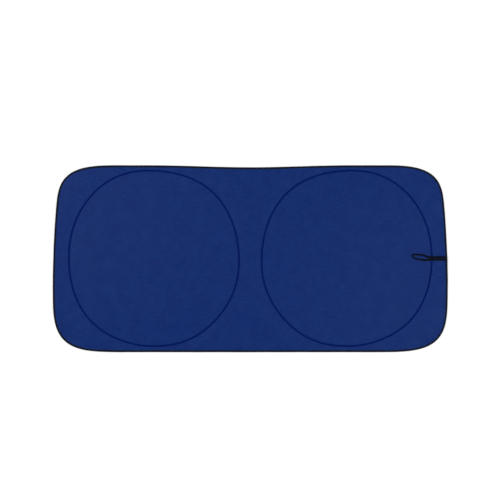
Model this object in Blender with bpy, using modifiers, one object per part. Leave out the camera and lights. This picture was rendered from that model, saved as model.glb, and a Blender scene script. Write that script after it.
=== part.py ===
"""A pop-up windscreen sunshade, opened and lying flat with its blue face up.

One panel of coated cloth is edged all round with a folded tape. Two spring-steel hoops, each closed by
a crimped ferrule, lie on the blue face inside casings of blue tape, and spring the panel flat. A loop
of flat elastic, caught under the edge tape at the right-hand side, holds the shade when it is folded.

Units are metres. X runs along the width, Y towards the edge that meets the top of the windscreen, and
Z up out of the blue face. The origin is under the middle of the shade, on the surface it lies on.
"""

import math

import bmesh
import bpy
from mathutils import Vector

# The panel's outline, over the edge tape
WIDTH = 1.479  # across the widest part
HEIGHT = 0.700
SIDE_BOW_RADIUS = 3.6  # each side is a long arc
SIDE_BOW_CENTRE = -0.110  # height of the widest part of that arc, from the middle of the shade
TOP_DIP = 0.0076  # how far the top edge draws in between the hoops
TOP_DIP_REACH = 0.400  # from the middle to where the top edge is straight again
TOP_CORNER_RUN = 0.242
TOP_CORNER_RISE = 0.159
TOP_CORNER_SQUARENESS = 3.46  # 2 is an ellipse, and more is squarer
BOTTOM_CORNER_RUN = 0.300
BOTTOM_CORNER_RISE = 0.240
BOTTOM_CORNER_SQUARENESS = 4.2

# Cloth and edge tape
CLOTH_THICKNESS = 0.0006
TAPE_THICKNESS = 0.0005
BINDING_WIDTH = 0.0075  # how much of the folded tape shows on each face
SEAT_GAP = 0.0003  # between pieces that touch

# Hoops, placed by the cloth that shows round their casings
HOOP_SIDE_MARGIN = 0.0488  # from the edge tape to the casing, at the sides
HOOP_TOP_MARGIN = 0.0087
HOOP_BOTTOM_MARGIN = 0.0117
HOOP_MIDDLE_MARGIN = 0.0792  # from one casing to the other
HOOP_SQUARENESS = 2.13
WIRE_DIAMETER = 0.0018
HOOP_END_GAP = 0.0004  # between the two ends of a hoop, inside the ferrule
FERRULE_LENGTH = 0.020
FERRULE_WALL = 0.0004
CRIMP_DEPTH = 0.0001

# Casings
CASING_THICKNESS = 0.0004
CASING_FLANGE = 0.0012  # sewn flat on each side of the ferrule, and wider where only the wire is
CASING_RAMP = 0.015  # over which the casing grows from the wire to the ferrule

# Elastic loop
LOOP_WIDTH = 0.0080
LOOP_THICKNESS = 0.0012
LOOP_STRAND_GAP = 0.0008  # between the two strands where they lie side by side
LOOP_SEAT_HEIGHT = 0.0010  # the strands' middle, from the middle of the shade
LOOP_RAMP = 0.012  # over which the edge tape rises over the strands

# How finely the curves are cut
CORNER_STEPS = 14
SIDE_STEPS = 5
TOP_STEPS = 10
BOTTOM_STEPS = 4
HOOP_STEPS = 64
RAMP_STEPS = 3
FERRULE_STEPS = 12
LOOP_CURVE_STEPS = 20  # between two rows of the elastic's route, before they are spaced evenly
LOOP_POINTS = 60

# Heights, from the surface that the shade lies on
CLOTH_BOTTOM = TAPE_THICKNESS + SEAT_GAP
CLOTH_TOP = CLOTH_BOTTOM + CLOTH_THICKNESS
WIRE_RADIUS = WIRE_DIAMETER / 2
FERRULE_BORE_RADIUS = WIRE_RADIUS + SEAT_GAP
FERRULE_RADIUS = FERRULE_BORE_RADIUS + FERRULE_WALL
SEAT_TOP = CLOTH_TOP + SEAT_GAP
LOOP_LIFT = LOOP_THICKNESS + SEAT_GAP
LOOP_FLAT = LOOP_WIDTH + LOOP_STRAND_GAP / 2 + SEAT_GAP  # half the lifted stretch of edge tape

# The hoops' places, worked out from the margins
CASING_HALF_WIDTH = FERRULE_RADIUS + SEAT_GAP + CASING_THICKNESS + CASING_FLANGE
TAPE_TO_WIRE = BINDING_WIDTH + CASING_HALF_WIDTH
HOOP_INNER_X = HOOP_MIDDLE_MARGIN / 2 + CASING_HALF_WIDTH
HOOP_OUTER_X = WIDTH / 2 - HOOP_SIDE_MARGIN - TAPE_TO_WIRE
HOOP_TOP_Y = HEIGHT / 2 - HOOP_TOP_MARGIN - TAPE_TO_WIRE
HOOP_BOTTOM_Y = -HEIGHT / 2 + HOOP_BOTTOM_MARGIN + TAPE_TO_WIRE
HOOP_HALF_WIDTH = (HOOP_OUTER_X - HOOP_INNER_X) / 2
HOOP_HALF_HEIGHT = (HOOP_TOP_Y - HOOP_BOTTOM_Y) / 2
HOOP_CENTRE_X = (HOOP_OUTER_X + HOOP_INNER_X) / 2
HOOP_CENTRE_Y = (HOOP_TOP_Y + HOOP_BOTTOM_Y) / 2

# Colours as linear red, green and blue
BLUE_CLOTH = (0.0091, 0.0296, 0.150)
NAVY_TAPE = (0.0018, 0.0110, 0.095)
BLACK_TAPE = (0.0060, 0.0070, 0.010)
SPRING_STEEL = (0.42, 0.43, 0.45)


def smooth_step(distance, flat, ramp):
    """1 within flat of the middle, 0 beyond the ramp, and a smooth fall between."""
    share = min(max((abs(distance) - flat) / ramp, 0.0), 1.0)
    return 1.0 - share * share * (3.0 - 2.0 * share)


def side_sag(y):
    """How far the side arc has come in from the widest point, at a height."""
    return (y - SIDE_BOW_CENTRE) ** 2 / (2 * SIDE_BOW_RADIUS)


def corner(run, rise, squareness):
    """Points of a rounded top right-hand corner of the plain outline, from the side to the top edge."""
    for step in range(CORNER_STEPS + 1):
        angle = 0.5 * math.pi * step / CORNER_STEPS
        across = max(math.cos(angle), 0.0) ** (2 / squareness)
        up = math.sin(angle) ** (2 / squareness)
        yield WIDTH / 2 - run * (1 - across), HEIGHT / 2 - rise * (1 - up)


def loop_heights():
    """Heights on the right-hand side where the edge tape needs stations to rise over the elastic."""
    offsets = [LOOP_FLAT + LOOP_RAMP * step / RAMP_STEPS for step in range(RAMP_STEPS + 1)]
    return [LOOP_SEAT_HEIGHT + side * offset for side in (-1, 1) for offset in offsets]


def half_outline(extra_heights):
    """The right half of the outline before it is shaped, from the bottom middle round to the top middle."""
    bottom = [(x, -y) for x, y in corner(BOTTOM_CORNER_RUN, BOTTOM_CORNER_RISE, BOTTOM_CORNER_SQUARENESS)]
    top = list(corner(TOP_CORNER_RUN, TOP_CORNER_RISE, TOP_CORNER_SQUARENESS))
    points = [(bottom[-1][0] * step / BOTTOM_STEPS, -HEIGHT / 2) for step in range(BOTTOM_STEPS)]
    points += reversed(bottom)
    low, high = bottom[0][1], top[0][1]
    heights = [low + (high - low) * step / SIDE_STEPS for step in range(1, SIDE_STEPS)]
    keep_clear = LOOP_RAMP / RAMP_STEPS
    heights = [y for y in heights if all(abs(y - extra) > keep_clear for extra in extra_heights)]
    points += [(WIDTH / 2, y) for y in sorted(heights + extra_heights)]
    points += top
    points += [(top[-1][0] * (1 - step / TOP_STEPS), HEIGHT / 2) for step in range(1, TOP_STEPS)]
    return points


def shaped(x, y):
    """A point of the plain outline, with the side's bow and the top edge's dip."""
    reach = min(abs(x) / TOP_DIP_REACH, 1.0)
    dip = TOP_DIP * 0.5 * (1 + math.cos(math.pi * reach)) * max(2 * y / HEIGHT, 0.0) ** 3
    return Vector((x * (1 - 2 * side_sag(y) / WIDTH), y - dip))


def outline():
    """The shade's outline over the edge tape, anticlockwise from the middle of the bottom edge."""
    right = [shaped(x, y) for x, y in half_outline(loop_heights())]
    left = [shaped(-x, y) for x, y in half_outline([])[1:]]
    return right + [shaped(0.0, HEIGHT / 2)] + left[::-1]


def inward_normals(points):
    """For each point of an anticlockwise ring, the step that moves both its edges in by one unit."""
    normals = []
    for before, point, after in zip(points[-1:] + points[:-1], points, points[1:] + points[:1]):
        arriving = (point - before).normalized()
        leaving = (after - point).normalized()
        first = Vector((-arriving.y, arriving.x))
        second = Vector((-leaving.y, leaving.x))
        normals.append((first + second) / (1 + first.dot(second)))
    return normals


def moved_in(points, distance):
    return [point + normal * distance for point, normal in zip(points, inward_normals(points))]


def hoop_point(angle):
    """A point on the right-hand hoop's centreline: a slightly squared oval."""
    across, up = math.cos(angle), math.sin(angle)
    power = HOOP_SQUARENESS
    reach = (abs(across) / HOOP_HALF_WIDTH) ** power + (abs(up) / HOOP_HALF_HEIGHT) ** power
    reach = reach ** (-1 / power)
    return Vector((HOOP_CENTRE_X + reach * across, HOOP_CENTRE_Y + reach * up))


def hoop_distances():
    """Distances along the hoop from the ferrule's middle, where it needs stations of its own."""
    flat = FERRULE_LENGTH / 2 + SEAT_GAP
    return [flat + CASING_RAMP * step / RAMP_STEPS for step in range(RAMP_STEPS + 1)]


def hoop_stations():
    """(point, ferrule share) round the right-hand hoop from just past the ferrule's middle, anticlockwise.

    The share is 1 on the ferrule and falls to 0 along the casing's ramp."""
    close = [math.asin(distance / HOOP_HALF_HEIGHT) for distance in hoop_distances()]
    turn = 2 * math.pi
    spread = turn / HOOP_STEPS
    first = close[-1] + spread / 3
    even = [spread * step for step in range(1, HOOP_STEPS)]
    angles = close + [angle for angle in even if first < angle < turn - first]
    angles += [turn - angle for angle in reversed(close)]
    stations = []
    for angle in angles:
        point = hoop_point(angle - math.pi / 2)
        past = HOOP_HALF_HEIGHT * math.sin(min(angle, turn - angle, turn / 4))
        stations.append((point, smooth_step(past, FERRULE_LENGTH / 2 + SEAT_GAP, CASING_RAMP)))
    return stations


def wire_height(share):
    """Height of the wire's centre: on the cloth, and raised where the thicker ferrule rests there."""
    return SEAT_TOP + WIRE_RADIUS + share * (FERRULE_RADIUS - WIRE_RADIUS)


def mirrored(points, side):
    """Points of the right-hand hoop, or of the left-hand one, kept anticlockwise."""
    if side > 0:
        return points
    return [Vector((-point.x, point.y)) for point in reversed(points)]


def material(name, colour, roughness, metallic=0.0):
    made = bpy.data.materials.new(name)
    made.use_nodes = True
    shader = made.node_tree.nodes["Principled BSDF"]
    shader.inputs["Base Color"].default_value = (*colour, 1.0)
    shader.inputs["Roughness"].default_value = roughness
    shader.inputs["Metallic"].default_value = metallic
    made.diffuse_color = (*colour, 1.0)
    return made


def new_object(name, data, collection, finish=None):
    made = bpy.data.objects.new(name, data)
    collection.objects.link(made)
    if finish:
        data.materials.append(finish)
    return made


def ring_loft(name, stations, sections, collection, finish):
    """A closed ring through one section at each station, each section a loop of (inward, height) pairs."""
    form = bmesh.new()
    rings = []
    for point, normal, section in zip(stations, inward_normals(stations), sections):
        places = [point + normal * inward for inward, _ in section]
        rings.append([form.verts.new((*place, height)) for place, (_, height) in zip(places, section)])
    for ring, following in zip(rings, rings[1:] + rings[:1]):
        for corner_one in range(len(ring)):
            corner_two = (corner_one + 1) % len(ring)
            quad = (ring[corner_one], ring[corner_two], following[corner_two], following[corner_one])
            form.faces.new(quad)
    bmesh.ops.recalc_face_normals(form, faces=form.faces)
    data = bpy.data.meshes.new(name)
    form.to_mesh(data)
    form.free()
    data.shade_smooth()
    data.set_sharp_from_angle(angle=math.radians(50))
    return new_object(name, data, collection, finish)


def poly_curve(name, points, closed, collection, finish=None, tilts=None):
    """A POLY curve object through 3D points."""
    data = bpy.data.curves.new(name, "CURVE")
    data.dimensions = "3D"
    spline = data.splines.new("POLY")
    spline.points.add(len(points) - 1)
    spline.use_cyclic_u = closed
    for target, point in zip(spline.points, points):
        target.co = (*point, 1.0)
    for target, tilt in zip(spline.points, tilts or []):
        target.tilt = tilt
    return new_object(name, data, collection, finish)


def make_panel(collection):
    """The one cut of cloth, its edge inside the fold of the edge tape."""
    edge = moved_in(outline(), TAPE_THICKNESS + SEAT_GAP)
    finish = material("coated_cloth", BLUE_CLOTH, 0.75)
    panel = poly_curve("panel", [(point.x, point.y, 0.0) for point in edge], True, collection, finish)
    panel.data.dimensions = "2D"
    panel.data.fill_mode = "BOTH"
    panel.data.extrude = CLOTH_THICKNESS / 2
    panel.location.z = CLOTH_BOTTOM + CLOTH_THICKNESS / 2
    return panel


def binding_section(lift):
    """The folded edge tape: a U open inwards, whose upper leg is raised by lift over the elastic."""
    top = 2 * CLOTH_BOTTOM + CLOTH_THICKNESS + lift
    fold = (2 * CLOTH_BOTTOM + CLOTH_THICKNESS) / 2
    slant = fold * (1 - math.sqrt(0.5))
    return [
        (BINDING_WIDTH, 0.0),
        (fold, 0.0),
        (slant, slant),
        (0.0, top / 2),
        (slant, top - slant),
        (fold, top),
        (BINDING_WIDTH, top),
        (BINDING_WIDTH, top - TAPE_THICKNESS),
        (TAPE_THICKNESS, top - TAPE_THICKNESS),
        (TAPE_THICKNESS, TAPE_THICKNESS),
        (BINDING_WIDTH, TAPE_THICKNESS),
    ]


def make_edge_binding(collection):
    """The black tape folded over the panel's whole edge, raised where it holds the elastic's two ends."""
    stations = outline()
    sections = []
    for point in stations:
        share = smooth_step(point.y - LOOP_SEAT_HEIGHT, LOOP_FLAT, LOOP_RAMP) if point.x > 0 else 0.0
        sections.append(binding_section(LOOP_LIFT * share))
    finish = material("black_tape", BLACK_TAPE, 0.85)
    return ring_loft("edge_binding", stations, sections, collection, finish)


def casing_section(share):
    """Tape arched over the wire, or over the ferrule where share is 1, with a flange each side."""
    inner = WIRE_RADIUS + share * (FERRULE_RADIUS - WIRE_RADIUS) + SEAT_GAP
    outer = inner + CASING_THICKNESS
    centre = wire_height(share)
    flange_top = SEAT_TOP + CASING_THICKNESS
    arch = [math.radians(angle) for angle in (0, 45, 90, 135, 180)]
    over = [(outer * math.cos(angle), centre + outer * math.sin(angle)) for angle in arch]
    under = [(inner * math.cos(angle), centre + inner * math.sin(angle)) for angle in reversed(arch)]
    section = [(CASING_HALF_WIDTH, SEAT_TOP), (CASING_HALF_WIDTH, flange_top), (outer, flange_top)]
    section += over[1:-1] if flange_top > centre else over
    section += [(-outer, flange_top), (-CASING_HALF_WIDTH, flange_top), (-CASING_HALF_WIDTH, SEAT_TOP)]
    section += [(-inner, SEAT_TOP)] + under + [(inner, SEAT_TOP)]
    return section


def make_casing(name, side, collection, finish):
    """The tape tunnel sewn to the cloth over one hoop."""
    stations = hoop_stations()
    shares = [share for _, share in stations]
    points = mirrored([point for point, _ in stations], side)
    if side < 0:
        shares.reverse()
    return ring_loft(name, points, [casing_section(share) for share in shares], collection, finish)


def make_hoop(name, side, collection, finish):
    """Spring wire bent to an oval, its two ends meeting inside the ferrule."""
    stations = hoop_stations()
    heights = [wire_height(share) for _, share in stations]
    heights = [heights[0]] + heights + [heights[-1]]
    ends = [math.asin(sign * HOOP_END_GAP / 2 / HOOP_HALF_HEIGHT) - math.pi / 2 for sign in (1, -1)]
    points = [hoop_point(ends[0])] + [point for point, _ in stations] + [hoop_point(ends[1])]
    path = [(side * point.x, point.y, height) for point, height in zip(points, heights)]
    hoop = poly_curve(name, path, False, collection, finish)
    hoop.data.bevel_depth = WIRE_RADIUS
    hoop.data.bevel_resolution = 2
    hoop.data.use_fill_caps = True
    return hoop


def make_ferrule(name, side, collection, finish):
    """The steel sleeve over a hoop's two ends, squeezed at two places: a turned profile."""
    half = FERRULE_LENGTH / 2
    ease = FERRULE_WALL / 2
    squeezed = FERRULE_RADIUS - CRIMP_DEPTH
    outer = [(FERRULE_RADIUS - ease, half), (FERRULE_RADIUS, half - ease)]
    for middle in (half / 2, -half / 2):
        rims = (middle + half / 5, middle - half / 5)
        outer += [(FERRULE_RADIUS, rims[0]), (squeezed, middle), (FERRULE_RADIUS, rims[1])]
    outer += [(FERRULE_RADIUS, -half + ease), (FERRULE_RADIUS - ease, -half)]
    profile = outer + [(FERRULE_BORE_RADIUS, -half), (FERRULE_BORE_RADIUS, half)]
    edges = [(start, (start + 1) % len(profile)) for start in range(len(profile))]
    data = bpy.data.meshes.new(name)
    data.from_pydata([(radius, 0.0, along) for radius, along in profile], edges, [])
    ferrule = new_object(name, data, collection, finish)
    turn = ferrule.modifiers.new("turn", "SCREW")
    turn.angle = 2 * math.pi
    turn.steps = FERRULE_STEPS
    turn.render_steps = FERRULE_STEPS
    turn.use_merge_vertices = True
    turn.merge_threshold = 0.00001
    ends_rise = hoop_stations()[0][0].y - HOOP_BOTTOM_Y
    ferrule.rotation_euler.y = math.pi / 2
    ferrule.location = (side * HOOP_CENTRE_X, HOOP_BOTTOM_Y + ends_rise / 2, wire_height(1.0))
    return ferrule


def loop_route():
    """The elastic's centreline as (x, y, height of its underside over the cloth, roll) rows.

    It comes out of the edge tape, climbs over the hoop's casing, opens into a slanting eye and comes
    back beside itself. The points of the eye are chosen by hand."""
    root = WIDTH / 2 - side_sag(LOOP_SEAT_HEIGHT) - TAPE_THICKNESS - 2 * SEAT_GAP
    strand = (LOOP_WIDTH + LOOP_STRAND_GAP) / 2
    low = SEAT_GAP
    over = max(height for _, height in casing_section(0.0)) - CLOTH_TOP + SEAT_GAP
    crossing = HOOP_OUTER_X
    out = [
        (root, strand, low, 0.0),
        (root - 0.008, strand, low, 0.0),
        (root - 0.016, strand, low, 0.0),
        (crossing + 0.013, strand, low + 0.0005, 0.0),
        (crossing + 0.004, strand, over, 0.0),
        (crossing - 0.004, strand, over, 0.0),
    ]
    eye = [
        (crossing - 0.0145, strand + 0.0006, 0.0008, 0.15),
        (crossing - 0.0250, 0.0098, low, 0.40),
        (crossing - 0.0365, 0.0129, low, 0.62),
        (crossing - 0.0480, 0.0141, low, 0.75),
        (crossing - 0.0600, 0.0150, low, 0.85),
        (crossing - 0.0690, 0.0151, low, 0.98),
        (crossing - 0.0746, 0.0112, low, 1.08),
        (crossing - 0.0726, 0.0057, low, 1.08),
        (crossing - 0.0658, 0.0011, low, 0.98),
        (crossing - 0.0560, -0.0023, low, 0.85),
        (crossing - 0.0450, -0.0042, low, 0.70),
        (crossing - 0.0300, -0.0060, low, 0.42),
        (crossing - 0.0150, -strand - 0.0012, 0.0008, 0.15),
    ]
    back = [(x, -y, height, roll) for x, y, height, roll in reversed(out)]
    return [(x, y + LOOP_SEAT_HEIGHT, height, roll) for x, y, height, roll in out + eye + back]


def smooth_path(rows, count):
    """Evenly spaced rows on a smooth curve through the given ones."""
    rows = [Vector(row) for row in rows]
    padded = [2 * rows[0] - rows[1]] + rows + [2 * rows[-1] - rows[-2]]
    fine = []
    for before, start, end, after in zip(padded, padded[1:], padded[2:], padded[3:]):
        for step in range(LOOP_CURVE_STEPS):
            share = step / LOOP_CURVE_STEPS
            bend = 2 * before - 5 * start + 4 * end - after
            twist = 3 * start - before - 3 * end + after
            fine.append(start + 0.5 * (share * (end - before) + share**2 * bend + share**3 * twist))
    fine.append(rows[-1])
    run = [0.0]
    for start, end in zip(fine, fine[1:]):
        run.append(run[-1] + (end.xyz - start.xyz).length)
    path = []
    place = 0
    for step in range(count):
        wanted = run[-1] * step / (count - 1)
        while place < len(run) - 2 and run[place + 1] < wanted:
            place += 1
        share = (wanted - run[place]) / (run[place + 1] - run[place])
        path.append(fine[place].lerp(fine[place + 1], share))
    return path


def make_elastic_loop(collection, helpers):
    """Flat elastic on a smooth route, rolled partly on its edge round the eye."""
    half_width, half_depth = LOOP_WIDTH / 2, LOOP_THICKNESS / 2
    ease = half_depth / 2
    quarter = [(half_width, half_depth - ease), (half_width - ease, half_depth)]
    upper = quarter + [(-x, y) for x, y in reversed(quarter)]
    around = [(x, -y) for x, y in upper] + upper[::-1]
    profile = poly_curve("elastic_section", [(x, y, 0.0) for x, y in around], True, helpers)
    profile.data.dimensions = "2D"
    profile.data.fill_mode = "NONE"
    profile.hide_render = True
    profile.display_type = "WIRE"
    points, rolls = [], []
    for x, y, under, roll in smooth_path(loop_route(), LOOP_POINTS):
        rise = half_width * abs(math.sin(roll)) + half_depth * math.cos(roll)
        points.append((x, y, CLOTH_TOP + under + rise))
        rolls.append(roll)
    finish = material("black_elastic", BLACK_TAPE, 0.8)
    loop = poly_curve("elastic_loop", points, False, collection, finish, rolls)
    loop.data.twist_mode = "Z_UP"
    loop.data.bevel_mode = "OBJECT"
    loop.data.bevel_object = profile
    loop.data.use_fill_caps = True
    return loop


def main():
    for old in list(bpy.data.objects):
        bpy.data.objects.remove(old, do_unlink=True)
    shade = bpy.data.collections.new("windscreen_sunshade")
    helpers = bpy.data.collections.new("helpers")
    bpy.context.scene.collection.children.link(shade)
    bpy.context.scene.collection.children.link(helpers)
    make_panel(shade)
    make_edge_binding(shade)
    casing_finish = material("navy_tape", NAVY_TAPE, 0.8)
    steel = material("spring_steel", SPRING_STEEL, 0.35, 1.0)
    for name, side in (("left", -1), ("right", 1)):
        make_hoop(f"{name}_hoop", side, shade, steel)
        make_ferrule(f"{name}_ferrule", side, shade, steel)
        make_casing(f"{name}_casing", side, shade, casing_finish)
    make_elastic_loop(shade, helpers)


main()
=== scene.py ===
"""The finish of a pop-up windscreen sunshade: its cloth, tapes, thread, elastic and spring wire.

Units are metres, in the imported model's frame: X along the width, Y towards the top edge, Z up out of
the blue face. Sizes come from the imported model's boxes, and the forms' own values repeat the CAD's.
"""

import math

import bpy
import numpy as np
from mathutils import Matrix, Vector, geometry, kdtree


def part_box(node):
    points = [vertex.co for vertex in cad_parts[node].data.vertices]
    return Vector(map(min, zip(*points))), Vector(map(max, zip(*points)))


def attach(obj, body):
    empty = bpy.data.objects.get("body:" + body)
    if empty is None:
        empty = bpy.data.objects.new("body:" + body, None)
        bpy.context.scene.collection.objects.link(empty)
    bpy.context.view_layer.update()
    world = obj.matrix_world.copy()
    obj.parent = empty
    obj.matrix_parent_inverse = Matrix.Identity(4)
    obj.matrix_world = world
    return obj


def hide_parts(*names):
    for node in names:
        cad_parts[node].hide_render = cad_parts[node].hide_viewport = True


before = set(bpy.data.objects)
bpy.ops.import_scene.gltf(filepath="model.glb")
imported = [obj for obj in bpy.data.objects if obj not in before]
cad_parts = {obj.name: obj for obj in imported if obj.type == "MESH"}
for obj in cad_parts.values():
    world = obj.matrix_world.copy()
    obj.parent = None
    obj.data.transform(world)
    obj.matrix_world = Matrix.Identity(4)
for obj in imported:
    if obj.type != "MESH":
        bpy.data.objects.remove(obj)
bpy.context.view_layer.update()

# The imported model's boxes
TAPE_LOW, TAPE_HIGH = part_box("edge_binding")
CLOTH_LOW, CLOTH_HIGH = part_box("panel")
CASING_LOW, CASING_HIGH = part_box("right_casing")
HOOP_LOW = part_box("right_hoop")[0]
FERRULE_LOW, FERRULE_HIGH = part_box("right_ferrule")

# The outline, as in the CAD
WIDTH = TAPE_HIGH[0] - TAPE_LOW[0]
HEIGHT = TAPE_HIGH[1] - TAPE_LOW[1]
SIDE_BOW_RADIUS = 3.6
SIDE_BOW_CENTRE = -0.110
TOP_DIP = 0.0076
TOP_DIP_REACH = 0.400
TOP_CORNER = (0.242, 0.159, 3.46)  # run, rise and squareness
BOTTOM_CORNER = (0.300, 0.240, 4.2)
BINDING_WIDTH = 0.0075
CLOTH_INSET = CLOTH_LOW[0] - TAPE_LOW[0]
CLOTH_BOTTOM = CLOTH_LOW[2]
CLOTH_TOP = CLOTH_HIGH[2]
CLOTH_MIDDLE = (CLOTH_BOTTOM + CLOTH_TOP) / 2
SEAT_GAP = 0.0003

# The hoops and their casings, as in the CAD
HOOP_SQUARENESS = 2.13
WIRE_RADIUS = 0.0009
FERRULE_RADIUS = (FERRULE_HIGH[2] - FERRULE_LOW[2]) / 2
FERRULE_FLAT = (FERRULE_HIGH[0] - FERRULE_LOW[0]) / 2 + SEAT_GAP
CASING_RAMP = 0.015
CASING_HALF_WIDTH = 0.0035
CASING_PLY = 0.0004
HOOP_CENTRE = (np.array(CASING_LOW[:2]) + np.array(CASING_HIGH[:2])) / 2
HOOP_REACH = (np.array(CASING_HIGH[:2]) - np.array(CASING_LOW[:2])) / 2 - CASING_HALF_WIDTH
WIRE_HEIGHT = HOOP_LOW[2] + WIRE_RADIUS
HOOP_END_GAP = 0.0004
HOOP_DENSE = 2400  # points on a hoop's line before even ones are picked

# A sewn hoop strays a little from its oval, by waves as (how many round it, height, degrees of a crest)
HOOP_WAVES = (
    (1, 0.0009, 25),
    (3, 0.0011, -58),
    (4, 0.0008, -25),
    (5, 0.0007, -21),
    (6, 0.0012, 13),
)
HOOP_WAVES_FADE = (0.09, 0.40)  # radians from the ferrule, where the waves begin and where they are whole

# The elastic loop, as in the CAD
LOOP_WIDTH = 0.0080
LOOP_THICKNESS = 0.0012
LOOP_STRAND_GAP = 0.0008
LOOP_SEAT_HEIGHT = 0.0010
LOOP_RAMP = 0.012
LOOP_LIFT = LOOP_THICKNESS + SEAT_GAP
LOOP_FLAT = LOOP_WIDTH + LOOP_STRAND_GAP / 2 + SEAT_GAP
LOOP_RIBS = 6
LOOP_RIB_DEPTH = 0.10  # of half the elastic's thickness
LOOP_EDGE_ROUNDING = 0.25  # of half the elastic's thickness

# Sewing
STITCH_PITCH = 0.0032
STITCH_LENGTH = STITCH_PITCH * 0.86
THREAD_RADIUS = 0.00021
TAPE_WAVER = 0.07  # of the edge tape's width
TAPE_WAVER_LENGTH = 0.110
BINDING_SEAM = 0.0056  # from the edge to the seam
BINDING_SEAM_HEIGHT = 0.00073  # from the cloth's middle
CASING_SEAM = 0.0026  # from the wire to the seam on each side
CASING_SEAM_DIP = 0.00006
TACK_STITCHES = 18
TACK_LENGTH = 0.0042
TACK_INSET = 0.0042  # from the edge to the bar tack's middle
TACK_HEIGHT = 0.00085  # from the cloth's middle, before the elastic lifts it
TACK_LEAN = 0.16  # radians, to one side and the other

# How the cloth lies: the height and the length of each kind of fold
BILLOW_HEIGHT = 0.0024  # inside the hoops
BILLOW_LENGTH = 0.240
SLACK_HEIGHT = 0.0024  # outside them
SLACK_LENGTH = 0.150
INNER_CREASE_HEIGHT = 0.0006
OUTER_CREASE_HEIGHT = 0.0007
CREASE_LENGTH = 0.075
FAN_HEIGHT = 0.0012  # across the corners, from the hoops
FAN_LENGTH = 0.085
WAIST_HEIGHT = 0.0011
WAIST_LENGTH = 0.031
DRAG_HEIGHT = 0.0006  # just inside the hoops
DRAG_LENGTH = 0.062
PUCKER_HEIGHT = 0.0005  # at the seams
PUCKER_REACH = 0.014
CASING_PUCKER_LENGTH = 0.021
EDGE_PUCKER_LENGTH = 0.027

# The cloth's threads
WEAVE_PITCH = 0.0009  # between two threads
FINE_SLUB = (0.028, 0.0011)  # an uneven thread's length and width
BROAD_SLUB = (0.024, 0.0052)

# How finely the pieces are cut
EDGE_STEP = 0.004
HOOP_STEP = 0.004
WIRE_SIDES = 10
THREAD_SIDES = 5
LOOP_STATIONS = 240
EDGE_ROWS = (  # the cloth's points along its edge, as (distance in, share of the edge's own count)
    (0.0032, 1.0),
    (BINDING_WIDTH, 1.0),
    (0.0100, 0.8),
    (0.0150, 0.7),
    (0.0220, 0.55),
)
EDGE_ROWS_APART = 0.0022
HOOP_ROWS = (0.0035, 0.0075, 0.0125, 0.019, 0.027)  # the cloth's points out from a hoop and in from it
HOOP_ROWS_SPACING = 0.0052  # between the points of a row, at the hoop
HOOP_ROWS_SPREAD = 0.1  # that the spacing grows by, of the distance from the hoop
HOOP_ROWS_APART = 0.0028
HOOP_ROWS_INSET = 0.003  # from the edge
FIELD_PITCH = 0.0105
FIELD_APART = 0.0062
FIELD_INSET = 0.024

# Colours
BLUE_DARK = (0.0008, 0.0100, 0.1080)
BLUE_LIGHT = (0.0060, 0.0368, 0.1810)
SILVER_DARK = (0.50, 0.51, 0.53)
SILVER_LIGHT = (0.68, 0.69, 0.71)
STEEL_DARK = (0.36, 0.37, 0.39)
STEEL_LIGHT = (0.52, 0.53, 0.55)
NAVY_DARK = (0.0002, 0.0072, 0.0960)
NAVY_LIGHT = (0.0010, 0.0143, 0.1430)
NAVY_THREAD_LIGHT = (0.0020, 0.0160, 0.1400)
EDGE_DARK = (0.0026, 0.0041, 0.0095)
EDGE_LIGHT = (0.0082, 0.0118, 0.0255)
BLACK_DARK = (0.0010, 0.0016, 0.0048)
BLACK_LIGHT = (0.0045, 0.0060, 0.0135)
BLACK_THREAD_LIGHT = (0.016, 0.017, 0.022)

# Light
WHITE = (1.0, 1.0, 1.0, 1.0)
WORLD_LEVEL = 0.42
FLOOR_GREY = 0.94
FLOOR_GLOW = 1.13
FLOOR_GLOW_FADE = (0.85, 1.7)  # metres from the shade's middle, where the glow is half and where it is whole

# The photograph's frame, in its own 500 pixels
PICTURE = 500
METRES_PER_PIXEL = 0.003745
AIM = (-0.0011, 0.0327)  # the picture's middle, from the shade's
LENS = 85.0
SENSOR = 36.0


# Camera

def make_camera():
    data = bpy.data.cameras.new("camera")
    data.lens = LENS
    data.sensor_width = SENSOR
    camera = bpy.data.objects.new("camera", data)
    bpy.context.scene.collection.objects.link(camera)
    distance = PICTURE * METRES_PER_PIXEL * LENS / SENSOR
    camera.location = (AIM[0], AIM[1], CLOTH_TOP + distance)
    data.clip_end = 50.0
    bpy.context.scene.camera = camera


# Curves and their even stations

def even_ring(points, count):
    """count evenly spaced points on a closed run of points, from its first."""
    closed = np.vstack([points, points[:1]])
    run = np.concatenate([[0.0], np.cumsum(np.linalg.norm(np.diff(closed, axis=0), axis=1))])
    places = np.arange(count) * run[-1] / count
    return np.stack([np.interp(places, run, closed[:, axis]) for axis in range(2)], axis=1)


def ring_length(points):
    return float(np.linalg.norm(np.roll(points, -1, axis=0) - points, axis=1).sum())


def ring_frames(points):
    """The unit steps along and inwards at each point of an anticlockwise ring."""
    along = np.roll(points, -1, axis=0) - np.roll(points, 1, axis=0)
    along /= np.linalg.norm(along, axis=1)[:, None]
    return along, np.stack([-along[:, 1], along[:, 0]], axis=1)


def corner(run, rise, squareness, steps=160):
    """The outline's upper right corner, from the side to the top edge."""
    angle = np.linspace(0.0, math.pi / 2, steps)
    across = np.clip(np.cos(angle), 0.0, 1.0) ** (2 / squareness)
    up = np.clip(np.sin(angle), 0.0, 1.0) ** (2 / squareness)
    return np.stack([WIDTH / 2 - run * (1 - across), HEIGHT / 2 - rise * (1 - up)], axis=1)


def straight(start, end, steps=120):
    share = np.linspace(0.0, 1.0, steps, endpoint=False)[:, None]
    return np.array(start) * (1 - share) + np.array(end) * share


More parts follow.
